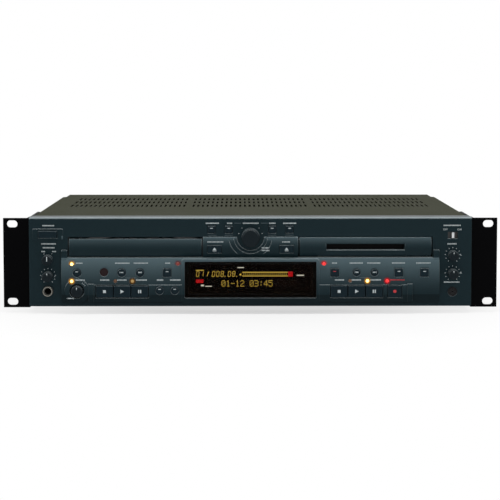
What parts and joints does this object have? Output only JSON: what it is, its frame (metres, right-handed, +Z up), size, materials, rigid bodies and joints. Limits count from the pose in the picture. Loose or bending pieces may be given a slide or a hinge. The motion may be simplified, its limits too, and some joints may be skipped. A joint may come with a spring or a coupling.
{
  "type": "minidisc deck",
  "caption": "Rack-mount disc deck with a sliding compact disc tray, a minidisc slot, a lit display, keys, knobs and a jog dial, on slotted rack brackets and four feet.",
  "frame": {"origin": "centre of the overall box at the bottom of the feet", "axes": "+X to the right seen from the front, along the width; +Y to the rear; +Z up; the front faces -Y"},
  "size_m": [0.4826, 0.309, 0.094],
  "materials": {
    "front_paint": "satin dark blue-grey paint on moulded plastic",
    "key_paint": "dark moulded plastic",
    "cover_paint": "fine textured dark olive-grey paint",
    "ear_paint": "satin black paint",
    "zinc": "zinc-plated steel",
    "black_steel": "black zinc screws",
    "smoke": "smoked acrylic",
    "tube_glass": "dark display glass",
    "foot_plastic": "black",
    "board": "circuit board",
    "drive_plastic": "black glass-filled plastic",
    "bright_metal": "machined",
    "lamp": "clear lamp",
    "socket_black": "black with plated contacts"
  },
  "bodies": {
    "deck": {"chassis_pan": "zinc", "top_cover": "cover_paint", "rear_panel": "ear_paint", "front_fascia": "front_paint", "md_bezel": "front_paint", "rack_ears": "ear_paint", "display_window": "smoke", "display_tube": "tube_glass", "feet": "foot_plastic", "screws": "black_steel", "circuit_boards": "board", "cd_drive_frame": "drive_plastic", "md_drive_frame": "zinc", "drive_motors": "bright_metal", "indicator_leds": "lamp", "front_sockets": "socket_black", "rear_sockets": "socket_black"},
    "tray": {"cd_tray": "drive_plastic", "tray_front": "front_paint"},
    "power_button": {"power_button": "key_paint"},
    "open_close_button": {"open_close_button": "key_paint"},
    "eject_button": {"eject_button": "key_paint"},
    "cd_menu_button": {"cd_menu_button": "key_paint"},
    "no_button": {"no_button": "key_paint"},
    "yes_button": {"yes_button": "key_paint"},
    "md_menu_button": {"md_menu_button": "key_paint"},
    "cd_stop_button": {"cd_stop_button": "key_paint"},
    "cd_play_button": {"cd_play_button": "key_paint"},
    "cd_ready_button": {"cd_ready_button": "key_paint"},
    "md_stop_button": {"md_stop_button": "key_paint"},
    "md_play_button": {"md_play_button": "key_paint"},
    "md_ready_button": {"md_ready_button": "key_paint"},
    "record_button": {"record_button": "key_paint"},
    "cd_select_button": {"cd_select_button": "key_paint"},
    "md_select_button": {"md_select_button": "key_paint"},
    "number_button": {"number_button": "key_paint"},
    "input_select_button": {"input_select_button": "key_paint"},
    "key_control_button": {"key_control_button": "key_paint"},
    "cd_skip_back_button": {"cd_skip_back_button": "key_paint"},
    "cd_skip_forward_button": {"cd_skip_forward_button": "key_paint"},
    "time_button": {"time_button": "key_paint"},
    "display_button": {"display_button": "key_paint"},
    "md_skip_back_button": {"md_skip_back_button": "key_paint"},
    "md_skip_forward_button": {"md_skip_forward_button": "key_paint"},
    "monitor_knob": {"monitor_knob": "key_paint"},
    "phones_level_knob": {"phones_level_knob": "key_paint"},
    "input_level_knob_left": {"input_level_knob_left": "key_paint"},
    "input_level_knob_right": {"input_level_knob_right": "key_paint"},
    "pitch_knob": {"pitch_knob": "key_paint"},
    "jog_shaft": {"jog_shaft": "key_paint"},
    "jog_dial": {"jog_dial": "key_paint"},
    "timer_switch_slider": {"timer_switch_slider": "key_paint"},
    "md_slot_flap": {"md_slot_flap": "drive_plastic"},
    "tray_drive_gear": {"tray_drive_gear": "drive_plastic"},
    "disc_clamp": {"disc_clamp": "drive_plastic"},
    "cd_turntable": {"cd_turntable": "bright_metal"},
    "cd_pickup_sled": {"cd_pickup_sled": "drive_plastic"},
    "md_holder": {"md_holder": "zinc"},
    "md_turntable": {"md_turntable": "bright_metal"},
    "md_pickup_sled": {"md_pickup_sled": "drive_plastic"}
  },
  "joints": [
    {"name": "power_press", "type": "slide", "parent": "deck", "child": "power_button", "axis": [0, 1, 0], "range_m": [0, 0.0005], "stiffness_N_per_m": 400, "springref_m": -0.0005},
    {"name": "open_close_press", "type": "slide", "parent": "deck", "child": "open_close_button", "axis": [0, 1, 0], "range_m": [0, 0.0005], "stiffness_N_per_m": 400, "springref_m": -0.0005},
    {"name": "eject_press", "type": "slide", "parent": "deck", "child": "eject_button", "axis": [0, 1, 0], "range_m": [0, 0.0005], "stiffness_N_per_m": 400, "springref_m": -0.0005},
    {"name": "cd_menu_press", "type": "slide", "parent": "deck", "child": "cd_menu_button", "axis": [0, 1, 0], "range_m": [0, 0.0005], "stiffness_N_per_m": 400, "springref_m": -0.0005},
    {"name": "no_press", "type": "slide", "parent": "deck", "child": "no_button", "axis": [0, 1, 0], "range_m": [0, 0.0005], "stiffness_N_per_m": 400, "springref_m": -0.0005},
    {"name": "yes_press", "type": "slide", "parent": "deck", "child": "yes_button", "axis": [0, 1, 0], "range_m": [0, 0.0005], "stiffness_N_per_m": 400, "springref_m": -0.0005},
    {"name": "md_menu_press", "type": "slide", "parent": "deck", "child": "md_menu_button", "axis": [0, 1, 0], "range_m": [0, 0.0005], "stiffness_N_per_m": 400, "springref_m": -0.0005},
    {"name": "cd_stop_press", "type": "slide", "parent": "deck", "child": "cd_stop_button", "axis": [0, 1, 0], "range_m": [0, 0.0005], "stiffness_N_per_m": 400, "springref_m": -0.0005},
    {"name": "cd_play_press", "type": "slide", "parent": "deck", "child": "cd_play_button", "axis": [0, 1, 0], "range_m": [0, 0.0005], "stiffness_N_per_m": 400, "springref_m": -0.0005},
    {"name": "cd_ready_press", "type": "slide", "parent": "deck", "child": "cd_ready_button", "axis": [0, 1, 0], "range_m": [0, 0.0005], "stiffness_N_per_m": 400, "springref_m": -0.0005},
    {"name": "md_stop_press", "type": "slide", "parent": "deck", "child": "md_stop_button", "axis": [0, 1, 0], "range_m": [0, 0.0005], "stiffness_N_per_m": 400, "springref_m": -0.0005},
    {"name": "md_play_press", "type": "slide", "parent": "deck", "child": "md_play_button", "axis": [0, 1, 0], "range_m": [0, 0.0005], "stiffness_N_per_m": 400, "springref_m": -0.0005},
    {"name": "md_ready_press", "type": "slide", "parent": "deck", "child": "md_ready_button", "axis": [0, 1, 0], "range_m": [0, 0.0005], "stiffness_N_per_m": 400, "springref_m": -0.0005},
    {"name": "record_press", "type": "slide", "parent": "deck", "child": "record_button", "axis": [0, 1, 0], "range_m": [0, 0.0005], "stiffness_N_per_m": 400, "springref_m": -0.0005},
    {"name": "cd_select_press", "type": "slide", "parent": "deck", "child": "cd_select_button", "axis": [0, 1, 0], "range_m": [0, 0.0005], "stiffness_N_per_m": 400, "springref_m": -0.0005},
    {"name": "md_select_press", "type": "slide", "parent": "deck", "child": "md_select_button", "axis": [0, 1, 0], "range_m": [0, 0.0005], "stiffness_N_per_m": 400, "springref_m": -0.0005},
    {"name": "number_press", "type": "slide", "parent": "deck", "child": "number_button", "axis": [0, 1, 0], "range_m": [0, 0.0005], "stiffness_N_per_m": 400, "springref_m": -0.0005},
    {"name": "input_select_press", "type": "slide", "parent": "deck", "child": "input_select_button", "axis": [0, 1, 0], "range_m": [0, 0.0005], "stiffness_N_per_m": 400, "springref_m": -0.0005},
    {"name": "key_control_press", "type": "slide", "parent": "deck", "child": "key_control_button", "axis": [0, 1, 0], "range_m": [0, 0.0005], "stiffness_N_per_m": 400, "springref_m": -0.0005},
    {"name": "cd_skip_back_press", "type": "slide", "parent": "deck", "child": "cd_skip_back_button", "axis": [0, 1, 0], "range_m": [0, 0.0005], "stiffness_N_per_m": 400, "springref_m": -0.0005},
    {"name": "cd_skip_forward_press", "type": "slide", "parent": "deck", "child": "cd_skip_forward_button", "axis": [0, 1, 0], "range_m": [0, 0.0005], "stiffness_N_per_m": 400, "springref_m": -0.0005},
    {"name": "time_press", "type": "slide", "parent": "deck", "child": "time_button", "axis": [0, 1, 0], "range_m": [0, 0.0005], "stiffness_N_per_m": 400, "springref_m": -0.0005},
    {"name": "display_press", "type": "slide", "parent": "deck", "child": "display_button", "axis": [0, 1, 0], "range_m": [0, 0.0005], "stiffness_N_per_m": 400, "springref_m": -0.0005},
    {"name": "md_skip_back_press", "type": "slide", "parent": "deck", "child": "md_skip_back_button", "axis": [0, 1, 0], "range_m": [0, 0.0005], "stiffness_N_per_m": 400, "springref_m": -0.0005},
    {"name": "md_skip_forward_press", "type": "slide", "parent": "deck", "child": "md_skip_forward_button", "axis": [0, 1, 0], "range_m": [0, 0.0005], "stiffness_N_per_m": 400, "springref_m": -0.0005},
    {"name": "monitor_turn", "type": "hinge", "parent": "deck", "child": "monitor_knob", "pos_m": [-0.1972, -0.1395, 0.0531], "axis": [0, -1, 0], "range_deg": [-35, 35]},
    {"name": "phones_level_turn", "type": "hinge", "parent": "deck", "child": "phones_level_knob", "pos_m": [-0.1972, -0.1395, 0.0369], "axis": [0, -1, 0], "range_deg": [-145, 145]},
    {"name": "input_level_turn_left", "type": "hinge", "parent": "deck", "child": "input_level_knob_left", "pos_m": [0.1972, -0.1395, 0.057], "axis": [0, -1, 0], "range_deg": [-145, 145]},
    {"name": "input_level_turn_right", "type": "hinge", "parent": "deck", "child": "input_level_knob_right", "pos_m": [0.1972, -0.1395, 0.039], "axis": [0, -1, 0], "range_deg": [-145, 145]},
    {"name": "pitch_turn", "type": "hinge", "parent": "deck", "child": "pitch_knob", "pos_m": [-0.1686, -0.1395, 0.0226], "axis": [0, -1, 0], "range_deg": [-140, 140]},
    {"name": "jog_push", "type": "slide", "parent": "deck", "child": "jog_shaft", "axis": [0, 1, 0], "range_m": [0, 0.0005], "stiffness_N_per_m": 500, "springref_m": -0.0005},
    {"name": "jog_turn", "type": "hinge", "parent": "jog_shaft", "child": "jog_dial", "pos_m": [0, -0.1395, 0.0751], "axis": [0, -1, 0], "continuous": true},
    {"name": "timer_slide", "type": "slide", "parent": "deck", "child": "timer_switch_slider", "axis": [1, 0, 0], "range_m": [-0.0026, 0.0026]},
    {"name": "flap_swing", "type": "hinge", "parent": "deck", "child": "md_slot_flap", "pos_m": [0.1119, -0.1349, 0.0696], "axis": [1, 0, 0], "range_deg": [0, 70], "stiffness_Nm_per_rad": 0.003, "springref_deg": -17.19},
    {"name": "tray_slide", "type": "slide", "parent": "deck", "child": "tray", "axis": [0, -1, 0], "range_m": [0, 0.13]},
    {"name": "gear_turn", "type": "hinge", "parent": "deck", "child": "tray_drive_gear", "pos_m": [-0.1609, -0.1225, 0.0595], "axis": [0, 0, 1], "range_deg": [-5, 937]},
    {"name": "clamp_lift", "type": "slide", "parent": "deck", "child": "disc_clamp", "axis": [0, 0, 1], "range_m": [0, 0.0015]},
    {"name": "cd_spin", "type": "hinge", "parent": "deck", "child": "cd_turntable", "pos_m": [-0.1119, -0.0715, 0.0646], "axis": [0, 0, 1], "continuous": true},
    {"name": "cd_sled_slide", "type": "slide", "parent": "deck", "child": "cd_pickup_sled", "axis": [0, 1, 0], "range_m": [0, 0.03]},
    {"name": "holder_drop", "type": "slide", "parent": "deck", "child": "md_holder", "axis": [0, 0, -1], "range_m": [0, 0.0036]},
    {"name": "md_spin", "type": "hinge", "parent": "deck", "child": "md_turntable", "pos_m": [0.1119, -0.0895, 0.0566], "axis": [0, 0, 1], "continuous": true},
    {"name": "md_sled_slide", "type": "slide", "parent": "deck", "child": "md_pickup_sled", "axis": [0, 1, 0], "range_m": [0, 0.014]}
  ],
  "couplings": [
    {"joint": "gear_turn", "follows": "tray_slide", "rad_per_m": 125}
  ]
}
